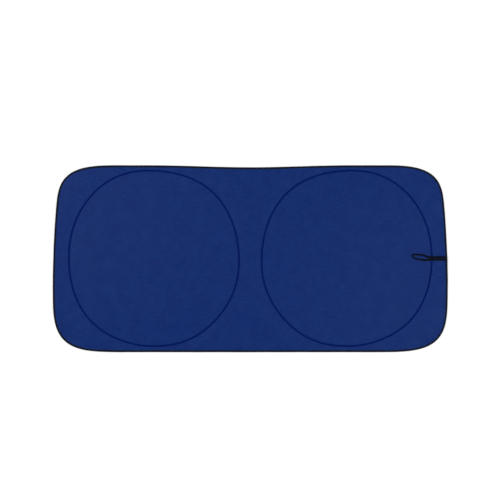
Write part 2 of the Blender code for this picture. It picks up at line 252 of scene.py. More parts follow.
def side_sag(y):
    """How far the bowed side lies in from half the width."""
    return (y - SIDE_BOW_CENTRE) ** 2 / (2 * SIDE_BOW_RADIUS)


def make_outline():
    """The shade's outline over its tape, anticlockwise from the middle of the bottom edge."""
    bottom = corner(*BOTTOM_CORNER)[::-1] * (1, -1)
    top = corner(*TOP_CORNER)
    parts = [
        straight((0.0, -HEIGHT / 2), bottom[0]),
        bottom,
        straight(bottom[-1], top[0])[1:],
        top,
        straight(top[-1], (0.0, HEIGHT / 2))[1:],
    ]
    right = np.vstack(parts)
    plain = np.vstack([right, [(0.0, HEIGHT / 2)], (right[1:] * (-1, 1))[::-1]])
    x, y = plain.T
    reach = np.minimum(abs(x) / TOP_DIP_REACH, 1.0)
    dip = TOP_DIP * 0.5 * (1 + np.cos(math.pi * reach)) * np.maximum(2 * y / HEIGHT, 0.0) ** 3
    return np.stack([x * (1 - 2 * side_sag(y) / WIDTH), y - dip], axis=1)


def smooth(value, low, high):
    """0 up to low and 1 from high, with a smooth rise between them."""
    share = np.clip((value - low) / (high - low), 0.0, 1.0)
    return share * share * (3 - 2 * share)


def hoop_wander(angle):
    """How far a hoop strays out from its oval, by the angle from its outer side."""
    from_ferrule = np.abs((angle + 1.5 * math.pi) % (2 * math.pi) - math.pi)
    stray = 0.0
    for waves, height, crest in HOOP_WAVES:
        stray = stray + height * np.cos(waves * (angle - math.radians(crest)))
    return stray * smooth(from_ferrule, *HOOP_WAVES_FADE)


def hoop_ring(side, count):
    """Even points on a hoop's centreline, anticlockwise from the middle of its ferrule."""
    angle = np.linspace(0.0, 2 * math.pi, HOOP_DENSE, endpoint=False) - math.pi / 2
    across, up = np.cos(angle), np.sin(angle)
    level = (abs(across) / HOOP_REACH[0]) ** HOOP_SQUARENESS + (abs(up) / HOOP_REACH[1]) ** HOOP_SQUARENESS
    reach = level ** (-1 / HOOP_SQUARENESS) + hoop_wander(np.arctan2(up, side * across))
    points = np.stack([side * HOOP_CENTRE[0] + reach * across, HOOP_CENTRE[1] + reach * up], axis=1)
    return even_ring(points, count)


OUTLINE = make_outline()
EDGE_COUNT = round(ring_length(OUTLINE) / EDGE_STEP)
EDGE = even_ring(OUTLINE, EDGE_COUNT)
EDGE_ALONG, EDGE_IN = ring_frames(EDGE)
HOOP_COUNT = round(ring_length(hoop_ring(1, HOOP_DENSE)) / HOOP_STEP)


# The cloth's lie

def ripple(points, wavelength, seed, waves=6):
    """A smooth uneven surface between -1 and 1, of waves about that long in all directions."""
    drawn = np.random.default_rng(seed)
    total = np.zeros(len(points))
    for _ in range(waves):
        angle, phase = drawn.uniform(0, 2 * math.pi, 2)
        length = wavelength * drawn.uniform(0.75, 1.4)
        total += np.sin(2 * math.pi * (points @ (math.cos(angle), math.sin(angle))) / length + phase)
    return np.clip(total / math.sqrt(waves * 1.6), -1.0, 1.0)


def hoop_place(points):
    """(distance out from the nearer hoop's line, angle round it, side) for each point."""
    side = np.where(points[:, 0] < 0, -1.0, 1.0)
    away = points - np.stack([side * HOOP_CENTRE[0], np.full(len(points), HOOP_CENTRE[1])], axis=1)
    scaled = (np.abs(away) / HOOP_REACH) ** HOOP_SQUARENESS
    level = np.maximum(scaled.sum(axis=1) ** (1 / HOOP_SQUARENESS), 1e-6)
    angle = np.arctan2(away[:, 1], away[:, 0] * side)
    return np.linalg.norm(away, axis=1) * (1 - 1 / level) - hoop_wander(angle), angle, side


def edge_place(points):
    """(distance in from the outline, distance along it) for each point, from the outline's stations."""
    distance = np.empty(len(points))
    along = np.empty(len(points))
    batch = 4000
    for start in range(0, len(points), batch):
        some = slice(start, start + batch)
        apart = ((points[some, None, :] - EDGE[None, :, :]) ** 2).sum(axis=2)
        nearest = apart.argmin(axis=1)
        offset = points[some] - EDGE[nearest]
        distance[some] = (offset * EDGE_IN[nearest]).sum(axis=1)
        slide = (offset * EDGE_ALONG[nearest]).sum(axis=1)
        along[some] = nearest * ring_length(EDGE) / EDGE_COUNT + slide
    return distance, along


def folds(place, wavelength, wander):
    """Folds between 0 and 1 along a line, about a wavelength apart and unevenly so."""
    turn = 2 * math.pi * place / wavelength
    return 0.5 + 0.5 * np.sin(turn + 1.8 * np.sin(turn * 0.37 + wander) + wander)


def between(value, low, full, fading, gone):
    """0 up to low, 1 from full to fading, and 0 again from gone."""
    return smooth(value, low, full) * (1 - smooth(value, fading, gone))


def cloth_lift(points):
    """How far the cloth lies above its flat place: low billows off the hoops, and puckers at the seams."""
    points = np.asarray(points, dtype=float)
    out, angle, side = hoop_place(points)
    inset, along = edge_place(points)
    inside, outside = np.maximum(-out, 0.0), np.maximum(out, 0.0)
    turn = angle * HOOP_REACH.mean()
    billow = 0.5 + 0.5 * ripple(points, BILLOW_LENGTH, seed=11)
    creases = 0.5 + 0.5 * ripple(points, CREASE_LENGTH, seed=37)
    slack = 0.5 + 0.5 * ripple(points, SLACK_LENGTH, seed=23)
    lift = (BILLOW_HEIGHT * billow + INNER_CREASE_HEIGHT * creases) * smooth(inside, 0.010, 0.110)
    lift += (SLACK_HEIGHT * slack + OUTER_CREASE_HEIGHT * creases) * smooth(outside, 0.006, 0.060)
    lift += FAN_HEIGHT * folds(turn, FAN_LENGTH, side) * between(outside, 0.004, 0.030, 0.060, 0.150)
    at_waist = smooth(outside, 0.008, 0.030) * (1 - smooth(abs(points[:, 0]), 0.020, 0.070))
    lift += WAIST_HEIGHT * folds(points[:, 0], WAIST_LENGTH, 0.8 + 3.0 * points[:, 1]) * at_waist
    lift += DRAG_HEIGHT * folds(turn, DRAG_LENGTH, 2.0 * side) * between(inside, 0.004, 0.016, 0.025, 0.085)
    pucker = folds(turn, CASING_PUCKER_LENGTH, side) * np.exp(-abs(out) / PUCKER_REACH)
    pucker += folds(along, EDGE_PUCKER_LENGTH, 0.0) * np.exp(-abs(inset - BINDING_WIDTH) / PUCKER_REACH)
    return lift + PUCKER_HEIGHT * pucker * smooth(abs(out), 0.0016, 0.0050)


# Meshes

def make_object(name, vertices, faces, materials, face_materials=None):
    data = bpy.data.meshes.new(name)
    data.from_pydata([tuple(v) for v in vertices], [], faces)
    for one in materials:
        data.materials.append(one)
    if face_materials is not None:
        data.polygons.foreach_set("material_index", face_materials)
    data.shade_smooth()
    data.update()
    made = bpy.data.objects.new(name, data)
    bpy.context.scene.collection.objects.link(made)
    return made


def loft(name, grid, closed_run, closed_section, materials):
    """A skin over a grid of stations by section points, with each corner's distances along and across."""
    stations, around = grid.shape[:2]
    vertices = grid.reshape(-1, 3)
    rows = np.arange(stations if closed_run else stations - 1)
    columns = np.arange(around if closed_section else around - 1)
    row, column = (part.ravel() for part in np.meshgrid(rows, columns, indexing="ij"))
    next_row, next_column = (row + 1) % stations, (column + 1) % around
    faces = np.stack([row * around + column, next_row * around + column,
                      next_row * around + next_column, row * around + next_column], axis=1)
    middle = grid.mean(axis=1)
    step = np.linalg.norm(np.roll(middle, -1, axis=0) - middle, axis=1)
    run = np.concatenate([[0.0], np.cumsum(step)])
    girth = np.linalg.norm(np.roll(grid, -1, axis=1) - grid, axis=2).mean(axis=0)
    across = np.concatenate([[0.0], np.cumsum(girth)])
    around_face = ((0, 0), (1, 0), (1, 1), (0, 1))
    corners = np.stack([np.stack([run[row + i], across[column + j]], axis=1) for i, j in around_face], axis=1)
    a, b, c, d = (vertices[faces[:, k]] for k in range(4))
    volume = (np.einsum("ij,ij->i", a, np.cross(b, c)) + np.einsum("ij,ij->i", a, np.cross(c, d))).sum()
    if volume < 0:
        faces, corners = faces[:, ::-1], corners[:, ::-1]
    faces = faces.tolist()
    lids = []
    if not closed_run:
        first = list(range(around))
        last = [(stations - 1) * around + k for k in range(around)]
        lids = [first, last[::-1]] if volume >= 0 else [first[::-1], last]
    made = make_object(name, vertices, faces + lids, materials)
    places = np.zeros((len(made.data.loops), 3))
    places[:len(faces) * 4, :2] = corners.reshape(-1, 2)
    layer = made.data.attributes.new("tape", "FLOAT_VECTOR", "CORNER")
    layer.data.foreach_set("vector", places.ravel())
    made.data.set_sharp_from_angle(angle=math.radians(55))
    return made


def ring_grid(points, inward, sections):
    """The grid of a ring: at each station its section of (inward, height) pairs."""
    places = points[:, None, :] + inward[:, None, :] * sections[:, :, :1]
    return np.concatenate([places, sections[:, :, 1:]], axis=2)


def stitch_mesh(name, centres, directions, length, thread, up=1.0):
    """One short thread for each stitch: it rises out of the cloth, lies on it and dips in again."""
    sides = THREAD_SIDES
    share = np.array([-0.5, -0.32, 0.32, 0.5])
    rise = np.array([-1.5, 0.55, 0.55, -1.5]) * THREAD_RADIUS
    rings = len(share)
    turn = 2 * math.pi * np.arange(sides) / sides
    along = np.repeat(share, sides)
    side = np.tile(np.cos(turn), rings) * THREAD_RADIUS
    high = np.tile(np.sin(turn), rings) * THREAD_RADIUS + np.repeat(rise, sides)
    flat = np.stack([-directions[:, 1], directions[:, 0]], axis=1)
    count = len(centres)
    grid = np.empty((count, rings * sides, 3))
    reach = length * along[None, :]
    for axis in range(2):
        on_line = centres[:, axis, None] + reach * directions[:, axis, None]
        grid[:, :, axis] = on_line + side * flat[:, axis, None]
    grid[:, :, 2] = centres[:, 2, None] + up * high
    tube = [(ring * sides + k, ring * sides + (k + 1) % sides, (ring + 1) * sides + (k + 1) % sides,
             (ring + 1) * sides + k) for ring in range(rings - 1) for k in range(sides)]
    lids = [tuple(range(sides))[::-1], tuple((rings - 1) * sides + k for k in range(sides))]
    if up > 0:
        tube = [quad[::-1] for quad in tube]
        lids = [lid[::-1] for lid in lids]
    faces = [[k + stitch * rings * sides for k in face] for stitch in range(count) for face in tube + lids]
    made = make_object(name, grid.reshape(-1, 3), faces, [thread])
    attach(made, "root")
    return made


# Node materials

def add(tree, kind, settings=(), inputs=()):
    """A new node, its settings and its inputs: a number, a colour or another node's output."""
    made = tree.nodes.new(kind)
    for key, value in dict(settings).items():
        setattr(made, key, value)
    for key, value in dict(inputs).items():
        if isinstance(value, bpy.types.NodeSocket):
            tree.links.new(value, made.inputs[key])
        else:
            made.inputs[key].default_value = value
    return made


def maths(tree, operation, *values):
    return add(tree, "ShaderNodeMath", {"operation": operation}, dict(enumerate(values))).outputs[0]


def mixed(tree, share, first, second):
    """A colour between two, by share."""
    made = add(tree, "ShaderNodeMix", {"data_type": "RGBA"}, {0: share})
    for index, value in ((6, first), (7, second)):
        if isinstance(value, bpy.types.NodeSocket):
            tree.links.new(value, made.inputs[index])
        else:
            made.inputs[index].default_value = (*value, 1.0)
    return made.outputs[2]


def blank(name, **sockets):
    """A new material, its tree and its Principled shader, with the sockets that are set by one value."""
    made = bpy.data.materials.new(name)
    made.use_nodes = True
    shader = made.node_tree.nodes["Principled BSDF"]
    for key, value in sockets.items():
        shader.inputs[key.replace("_", " ")].default_value = value
    return made, made.node_tree, shader


def cloth_place(tree):
    return add(tree, "ShaderNodeTexCoord").outputs["Object"]


def tape_place(tree):
    return add(tree, "ShaderNodeAttribute", {"attribute_name": "tape"}).outputs["Vector"]


def weave(tree, place, pitch):
    """(height, which thread is on top) of a plain weave."""
    split = add(tree, "ShaderNodeSeparateXYZ", inputs={0: place})
    first = maths(tree, "SINE", maths(tree, "MULTIPLY", split.outputs[0], math.pi / pitch))
    second = maths(tree, "SINE", maths(tree, "MULTIPLY", split.outputs[1], math.pi / pitch))
    over = maths(tree, "MULTIPLY", first, second)
    height = maths(tree, "POWER", maths(tree, "ABSOLUTE", over), 0.6)
    return height, maths(tree, "MULTIPLY_ADD", over, 0.5, 0.5)


def speckle(tree, place, stretch, scale, detail=2.0):
    """Noise between 0 and 1, drawn out along the axes by stretch."""
    pulled = add(tree, "ShaderNodeVectorMath", {"operation": "MULTIPLY"}, {0: place, 1: stretch})
    inputs = {"Vector": pulled.outputs[0], "Scale": scale, "Detail": detail}
    return add(tree, "ShaderNodeTexNoise", inputs=inputs).outputs[0]


def bumped(tree, shader, height, distance, strength=1.0):
    made = add(tree, "ShaderNodeBump", inputs={"Height": height, "Distance": distance, "Strength": strength})
    tree.links.new(made.outputs[0], shader.inputs["Normal"])


def tone(tree, shader, share, dark, light):
    tree.links.new(mixed(tree, share, dark, light), shader.inputs["Base Color"])


def slubs(tree, place, long, short):
    """Uneven threads both ways across the cloth, of that length and width, between 0 and 1."""
    across = speckle(tree, place, (1 / long, 1 / short, 1.0), 1.0)
    down = speckle(tree, place, (1 / short, 1 / long, 1.0), 1.0)
    return maths(tree, "MULTIPLY_ADD", across, 2.0, maths(tree, "SUBTRACT", down, 1.0))


def blue_cloth():
    made, tree, shader = blank("blue_cloth", Roughness=0.34, Specular_IOR_Level=0.058, Sheen_Weight=0.02,
                               Sheen_Roughness=0.35)
    place = cloth_place(tree)
    height, over = weave(tree, place, WEAVE_PITCH)
    fine = slubs(tree, place, *FINE_SLUB)
    broad = slubs(tree, place, *BROAD_SLUB)
    cloud = speckle(tree, place, (1.0, 1.0, 1.0), 22.0, 4.0)
    share = maths(tree, "MULTIPLY_ADD", over, 0.22, maths(tree, "MULTIPLY", fine, 0.12))
    share = maths(tree, "MULTIPLY_ADD", broad, 0.34, share)
    share = maths(tree, "MULTIPLY_ADD", cloud, 0.46, share)
    tone(tree, shader, maths(tree, "SUBTRACT", share, 0.080), BLUE_DARK, BLUE_LIGHT)
    relief = maths(tree, "MULTIPLY_ADD", fine, 0.35, height)
    relief = maths(tree, "MULTIPLY_ADD", broad, 0.5, relief)
    bumped(tree, shader, relief, 0.00012, 0.7)
    return made


def silver_back():
    made, tree, shader = blank("silver_back", Metallic=0.75, Specular_IOR_Level=0.4)
    place = cloth_place(tree)
    height, over = weave(tree, place, WEAVE_PITCH)
    crease = speckle(tree, place, (1.0, 1.0, 1.0), 45.0, 5.0)
    cloud = speckle(tree, place, (1.0, 1.0, 1.0), 9.0, 4.0)
    share = maths(tree, "MULTIPLY_ADD", over, 0.25, maths(tree, "MULTIPLY", cloud, 0.75))
    tone(tree, shader, share, SILVER_DARK, SILVER_LIGHT)
    rough = maths(tree, "MULTIPLY_ADD", cloud, 0.2, 0.30)
    tree.links.new(rough, shader.inputs["Roughness"])
    relief = maths(tree, "MULTIPLY_ADD", crease, 6.0, height)
    bumped(tree, shader, relief, 0.00012, 0.7)
    return made


def ribbed_tape(name, dark, light, rib, across_pitch, shine):
    """A woven tape with ribs across it, coloured lighter on the rib tops and darker in the grooves between
    them as painted shade.
    """
    made, tree, shader = blank(name, Roughness=0.8, Specular_IOR_Level=shine, Sheen_Weight=shine / 8)
    place = tape_place(tree)
    split = add(tree, "ShaderNodeSeparateXYZ", inputs={0: place})
    turns = maths(tree, "MULTIPLY", split.outputs[0], math.pi / rib)
    ribs = maths(tree, "ABSOLUTE", maths(tree, "SINE", turns))
    threads = maths(tree, "SINE", maths(tree, "MULTIPLY", split.outputs[1], 2 * math.pi / across_pitch))
    relief = maths(tree, "MULTIPLY_ADD", threads, 0.25, ribs)
    fuzz = speckle(tree, place, (1.0, 1.0, 1.0), 900.0, 3.0)
    patch = speckle(tree, place, (1.0, 1.0, 1.0), 14.0, 2.0)
    # The rib height sets the tone: painted highlight on the rib tops and painted shade in the grooves.
    share = maths(tree, "MULTIPLY_ADD", ribs, 0.45, maths(tree, "MULTIPLY", fuzz, 0.35))
    share = maths(tree, "MULTIPLY_ADD", patch, 0.2, share)
    tone(tree, shader, share, dark, light)
    bumped(tree, shader, maths(tree, "MULTIPLY_ADD", fuzz, 0.4, relief), 0.00012, 0.8)
    return made


def thread_material(name, dark, light):
    made, tree, shader = blank(name, Roughness=0.6, Specular_IOR_Level=0.25)
    place = cloth_place(tree)
    strands = speckle(tree, place, (1.0, 1.0, 1.0), 4000.0, 1.0)
    tone(tree, shader, strands, dark, light)
    bumped(tree, shader, strands, 0.00005, 0.6)
    return made


def wire_material():
    made, tree, shader = blank("spring_wire", Metallic=1.0)
    place = cloth_place(tree)
    streak = speckle(tree, place, (1.0, 1.0, 1.0), 300.0, 3.0)
    tone(tree, shader, streak, STEEL_DARK, STEEL_LIGHT)
    tree.links.new(maths(tree, "MULTIPLY_ADD", streak, 0.25, 0.2), shader.inputs["Roughness"])
    bumped(tree, shader, streak, 0.00002, 0.5)
    return made


# The elastic loop

def loop_route():
    """The elastic's centreline, as in the CAD: x, y, its underside's height over the cloth, and its roll."""
    root = WIDTH / 2 - side_sag(LOOP_SEAT_HEIGHT) - 0.0005 - 2 * SEAT_GAP
    strand = (LOOP_WIDTH + LOOP_STRAND_GAP) / 2
    low = SEAT_GAP
    over = WIRE_HEIGHT + WIRE_RADIUS + SEAT_GAP + CASING_PLY - CLOTH_TOP + SEAT_GAP
    crossing = HOOP_CENTRE[0] + HOOP_REACH[0]
    out = [
        (root, strand, low, 0.0),
        (root - 0.008, strand, low, 0.0),
        (root - 0.016, strand, low, 0.0),
        (crossing + 0.013, strand, low + 0.0005, 0.0),
        (crossing + 0.004, strand, over, 0.0),
        (crossing - 0.004, strand, over, 0.0),
    ]
    eye = [
        (crossing - 0.0145, strand + 0.0006, 0.0008, 0.15),
        (crossing - 0.0250, 0.0098, low, 0.40),
        (crossing - 0.0365, 0.0129, low, 0.62),
        (crossing - 0.0480, 0.0141, low, 0.75),
        (crossing - 0.0600, 0.0150, low, 0.85),
        (crossing - 0.0690, 0.0151, low, 0.98),
        (crossing - 0.0746, 0.0112, low, 1.08),
        (crossing - 0.0726, 0.0057, low, 1.08),
        (crossing - 0.0658, 0.0011, low, 0.98),
        (crossing - 0.0560, -0.0023, low, 0.85),
        (crossing - 0.0450, -0.0042, low, 0.70),
        (crossing - 0.0300, -0.0060, low, 0.42),
        (crossing - 0.0150, -strand - 0.0012, 0.0008, 0.15),
    ]
    back = [(x, -y, height, roll) for x, y, height, roll in reversed(out)]
    return np.array([(x, y + LOOP_SEAT_HEIGHT, height, roll) for x, y, height, roll in out + eye + back])


def smooth_path(rows, count):
    """Evenly spaced rows on a smooth curve through the given ones."""
    padded = np.vstack([2 * rows[0] - rows[1], rows, 2 * rows[-1] - rows[-2]])
    share = np.linspace(0.0, 1.0, 20, endpoint=False)[:, None]
    fine = []
    for before, start, end, after in zip(padded, padded[1:], padded[2:], padded[3:]):
        bend = 2 * before - 5 * start + 4 * end - after
        twist = 3 * start - before - 3 * end + after
        fine.append(start + 0.5 * (share * (end - before) + share**2 * bend + share**3 * twist))
    fine = np.vstack(fine + [rows[-1:]])
    run = np.concatenate([[0.0], np.cumsum(np.linalg.norm(np.diff(fine[:, :3], axis=0), axis=1))])
    places = np.linspace(0.0, run[-1], count)
    return np.stack([np.interp(places, run, fine[:, k]) for k in range(4)], axis=1), float(run[-1])


def make_elastic():
    """Flat elastic with ribs along it, lying beside itself and rolled half on its edge round its eye."""
    rows, length = smooth_path(loop_route(), LOOP_STATIONS)
    half_width, half_depth = LOOP_WIDTH / 2, LOOP_THICKNESS / 2
    roll = rows[:, 3]
    rise = half_width * abs(np.sin(roll)) + half_depth * np.cos(roll)
    level = np.gradient(rows[:, :2], axis=0)
    level = np.stack([-level[:, 1], level[:, 0]], axis=1) / np.linalg.norm(level, axis=1)[:, None]
    reach = half_width * np.cos(roll)[:, None]
    under = [cloth_lift(rows[:, :2] + level * reach * share) for share in (-1.0, -0.5, 0.0, 0.5, 1.0)]
    path = np.stack([rows[:, 0], rows[:, 1], CLOTH_TOP + rows[:, 2] + rise + np.max(under, axis=0)], axis=1)
    ahead = np.gradient(path, axis=0)
    ahead /= np.linalg.norm(ahead, axis=1)[:, None]
    side = np.cross((0.0, 0.0, 1.0), ahead)
    side /= np.linalg.norm(side, axis=1)[:, None]
    up = np.cross(ahead, side)
    across = np.linspace(-1.0, 1.0, 25)
    ribs = 0.5 - 0.5 * np.cos(across * math.pi * LOOP_RIBS)
    cover = 1 - LOOP_RIB_DEPTH * ribs - LOOP_EDGE_ROUNDING * np.abs(across) ** 8
    upper = np.stack([across * half_width, cover * half_depth], axis=1)
    section = np.vstack([upper[::-1], upper[1:-1] * (1, -1)])
    turned_x = section[None, :, 0] * np.cos(roll)[:, None] - section[None, :, 1] * np.sin(roll)[:, None]
    turned_y = section[None, :, 0] * np.sin(roll)[:, None] + section[None, :, 1] * np.cos(roll)[:, None]
    grid = path[:, None, :] + side[:, None, :] * turned_x[:, :, None] + up[:, None, :] * turned_y[:, :, None]
    loop = loft("elastic_band", grid, False, True, [ELASTIC])
    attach(loop, "root")
    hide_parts("elastic_loop")


# The cloth panel

def apart_from(kept, more, gap):
    """The points of more that lie at least gap from all those kept."""
    tree = kdtree.KDTree(len(kept))
    for index, point in enumerate(kept):
        tree.insert((*point, 0.0), index)
    tree.balance()
    return [point for point in more if tree.find((*point, 0.0))[2] >= gap]


def panel_points(rim):
    """Points over the cloth: close together along the seams, and wider apart between them."""
    points = [tuple(p) for p in rim]
    for inset, share in EDGE_ROWS:
        ring = even_ring(EDGE + EDGE_IN * inset, round(EDGE_COUNT * share))
        points += apart_from(points, [tuple(p) for p in ring], EDGE_ROWS_APART)
    for out in [0.0] + [way * distance for distance in HOOP_ROWS for way in (1, -1)]:
        spacing = HOOP_ROWS_SPACING + abs(out) * HOOP_ROWS_SPREAD
        for side in (-1, 1):
            dense = hoop_ring(side, HOOP_DENSE)
            moved = dense - ring_frames(dense)[1] * out
            ring = even_ring(moved, round(ring_length(moved) / spacing))
            ring = ring[edge_place(ring)[0] > HOOP_ROWS_INSET]
            points += apart_from(points, [tuple(p) for p in ring], HOOP_ROWS_APART)
    rows = np.arange(-HEIGHT / 2, HEIGHT / 2, FIELD_PITCH * math.sqrt(0.75))
    field = np.array([(x + (FIELD_PITCH / 2 if index % 2 else 0.0), y) for index, y in enumerate(rows)
                      for x in np.arange(-WIDTH / 2, WIDTH / 2, FIELD_PITCH)])
    field = field[edge_place(field)[0] > FIELD_INSET]
    points += apart_from(points, [tuple(p) for p in field], FIELD_APART)
    return points


def make_panel():
    """The blue cloth with its silver back, one closed sheet inside the tape."""
    rim = EDGE + EDGE_IN * CLOTH_INSET
    points = panel_points(rim)
    count = len(rim)
    edges = [(k, (k + 1) % count) for k in range(count)]
    found = geometry.delaunay_2d_cdt([Vector(p) for p in points], edges, [], 1, 1e-7)
    flat = np.array([tuple(p) for p in found[0]])
    faces = [list(face) for face in found[2]]
    turns = np.array([np.cross(flat[f[1]] - flat[f[0]], flat[f[2]] - flat[f[0]]) for f in faces])
    faces = [face if turn > 0 else face[::-1] for face, turn in zip(faces, turns)]
    lift = cloth_lift(flat)
    used = dict.fromkeys((face[k], face[(k + 1) % 3]) for face in faces for k in range(3))
    rim_edges = [pair for pair in used if (pair[1], pair[0]) not in used]
    size = len(flat)
    top = np.column_stack([flat, CLOTH_TOP + lift])
    bottom = np.column_stack([flat, CLOTH_BOTTOM + lift])
    under = [[size + k for k in face[::-1]] for face in faces]
    wall = [[b, a, size + a, size + b] for a, b in rim_edges]
    which = [0] * len(faces) + [1] * len(under) + [0] * len(wall)
    panel = make_object("cloth_panel", np.vstack([top, bottom]), faces + under + wall, [BLUE, SILVER], which)
    panel.data.set_sharp_from_angle(angle=math.radians(60))
    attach(panel, "root")
    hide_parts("panel")
    x, y = rim.T
    area = 0.5 * abs(float((x * np.roll(y, -1) - y * np.roll(x, -1)).sum()))
    return panel, (CLOTH_HIGH[0] - CLOTH_LOW[0], CLOTH_HIGH[1] - CLOTH_LOW[1]), area


# The edge tape

TAPE_OVER = (  # (inset, height from the cloth's middle) in mm, from the fold to the inner edge
    (0.0, 0.0), (0.06, 0.45), (0.30, 0.82), (0.75, 1.04), (1.5, 1.10), (2.8, 1.02), (4.2, 0.85), (5.2, 0.74),
    (5.9, 0.73), (6.6, 0.78), (7.2, 0.84), (7.48, 0.80), (7.5, 0.55),
)
TAPE_UNDER = ((7.4, 0.36), (6.2, 0.33), (4.6, 0.33), (2.9, 0.40), (1.2, 0.50), (0.7, 0.35), (0.55, 0.0))


def tape_section():
    """The folded tape's section: (inward, height from the cloth's middle), round from the fold."""
    upper = np.array(TAPE_OVER + TAPE_UNDER) / 1000
    lower = upper[1:-1][::-1] * (1, -1)
    return np.vstack([upper, lower])


def tape_swell(points):
    """How far the tape's upper half rises over the elastic's ends."""
    near = smooth(LOOP_FLAT + LOOP_RAMP - abs(points[:, 1] - LOOP_SEAT_HEIGHT), 0.0, LOOP_RAMP)
    return np.where(points[:, 0] > 0, near, 0.0) * LOOP_LIFT


def make_edge_tape():
    section = tape_section()
    sections = np.repeat(section[None, :, :], EDGE_COUNT, axis=0)
    sections[:, :, 0] *= 1 + TAPE_WAVER * ripple(EDGE, TAPE_WAVER_LENGTH, seed=5)[:, None]
    share = smooth(section[:, 1], -0.0002, 0.0004)
    sections[:, :, 1] += tape_swell(EDGE)[:, None] * share[None, :]
    grid = ring_grid(EDGE, EDGE_IN, sections)
    flat = grid[:, :, :2].reshape(-1, 2)
    grid[:, :, 2] += CLOTH_MIDDLE + cloth_lift(flat).reshape(grid.shape[:2])
    tape = loft("edge_tape", grid, True, True, [BLACK_TAPE])
    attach(tape, "root")
    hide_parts("edge_binding")
    return tape


def edge_seam(up):
    """The row of stitches through the edge tape, on the blue face or on the back."""
    count = round(ring_length(EDGE) / STITCH_PITCH)
    ring = even_ring(EDGE + EDGE_IN * BINDING_SEAM, count)
    along, _ = ring_frames(ring)
    height = CLOTH_MIDDLE + up * BINDING_SEAM_HEIGHT + cloth_lift(ring) + tape_swell(ring) * (up > 0)
    centres = np.column_stack([ring, height])
    name = "edge_stitches" if up > 0 else "edge_stitches_back"
    return stitch_mesh(name, centres, along, STITCH_LENGTH, BLACK_THREAD, up)


# Hoops, ferrules and casings

def ferrule_share(places, length):
    """1 on the ferrule and falling to 0 past it, by the distance round a hoop from its ferrule's middle."""
    return 1 - smooth(np.minimum(places, length - places), FERRULE_FLAT, FERRULE_FLAT + CASING_RAMP)


def casing_sections(share):
    """The tape's section at each station: an arch over the wire or ferrule, and a sewn flange each side."""
    inner = WIRE_RADIUS + share * (FERRULE_RADIUS - WIRE_RADIUS) + SEAT_GAP
    outer = inner + CASING_PLY
    centre = WIRE_HEIGHT + share * (FERRULE_RADIUS - WIRE_RADIUS)
    foot = CLOTH_TOP - 0.00002
    top = CLOTH_TOP + CASING_PLY
    half = [
        (CASING_HALF_WIDTH, foot),
        (CASING_HALF_WIDTH + 0.00002, top - 0.0001),
        (CASING_HALF_WIDTH - 0.00015, top + 0.00004),
        (0.0029, top),
        (CASING_SEAM, top - CASING_SEAM_DIP),
        (np.maximum(0.0021, outer + 0.0002), top + 0.00003),
        (outer + 0.00005, top + 0.0003),
    ]
    for angle in np.radians((8, 26, 44, 62, 80)):
        half.append((outer * math.cos(angle), centre + outer * math.sin(angle)))
    upper = half + [(-x, z) for x, z in reversed(half)]
    below = [(-inner, foot)]
    for angle in np.radians((180, 145, 110, 70, 35, 0)):
        below.append((inner * math.cos(angle), centre + inner * math.sin(angle)))
    below.append((inner, foot))
    sections = np.empty((len(share), len(upper) + len(below), 2))
    for index, (x, z) in enumerate(upper + below):
        sections[:, index, 0] = x
        sections[:, index, 1] = z
    return sections


def make_casing(name, side):
    ring = hoop_ring(side, HOOP_COUNT)
    _, inward = ring_frames(ring)
    length = ring_length(ring)
    sections = casing_sections(ferrule_share(np.arange(HOOP_COUNT) * length / HOOP_COUNT, length))
    grid = ring_grid(ring, inward, sections)
    flange = smooth(abs(sections[:, :, 0]), 0.0018, 0.0026)
    grid[:, :, 2] += cloth_lift(grid[:, :, :2].reshape(-1, 2)).reshape(flange.shape) * flange
    casing = loft(f"{name}_casing_tape", grid, True, True, [NAVY_TAPE])
    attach(casing, "root")
    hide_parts(f"{name}_casing")
    return casing


def casing_seams(name, side, up):
    """The two rows of stitches that hold a casing, on the blue face or on the back."""
    rows, ways = [], []
    for offset in (-CASING_SEAM, CASING_SEAM):
        dense = hoop_ring(side, HOOP_DENSE)
        ring = dense + ring_frames(dense)[1] * offset
        ring = even_ring(ring, round(ring_length(ring) / STITCH_PITCH))
        rows.append(ring)
        ways.append(ring_frames(ring)[0])
    flat, ways = np.vstack(rows), np.vstack(ways)
    height = (CLOTH_TOP + CASING_PLY - CASING_SEAM_DIP if up > 0 else CLOTH_BOTTOM) + cloth_lift(flat)
    centres = np.column_stack([flat, height])
    ending = "" if up > 0 else "_back"
    return stitch_mesh(f"{name}_casing_stitches{ending}", centres, ways, STITCH_LENGTH, NAVY_THREAD, up)


def make_wire(name, side):
    """The hoop's wire, finer than the CAD's, with its two ends inside the ferrule."""
    dense = hoop_ring(side, HOOP_DENSE)
    length = ring_length(dense)
    closed = np.vstack([dense, dense[:1]])
    run = np.arange(HOOP_DENSE + 1) * length / HOOP_DENSE
    places = np.linspace(HOOP_END_GAP / 2, length - HOOP_END_GAP / 2, HOOP_COUNT)
    line = np.stack([np.interp(places, run, closed[:, axis]) for axis in range(2)], axis=1)
    height = WIRE_HEIGHT + ferrule_share(places, length) * (FERRULE_RADIUS - WIRE_RADIUS)
    ahead = np.gradient(line, axis=0)
    ahead /= np.linalg.norm(ahead, axis=1)[:, None]
    across = np.stack([-ahead[:, 1], ahead[:, 0]], axis=1)
    turn = 2 * math.pi * np.arange(WIRE_SIDES) / WIRE_SIDES
    flat = line[:, None, :] + across[:, None, :] * (WIRE_RADIUS * np.cos(turn))[None, :, None]
    up = height[:, None] + (WIRE_RADIUS * np.sin(turn))[None, :]
    wire = loft(f"{name}_wire", np.concatenate([flat, up[:, :, None]], axis=2), False, True, [STEEL])
    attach(wire, "root")
    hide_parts(f"{name}_hoop")


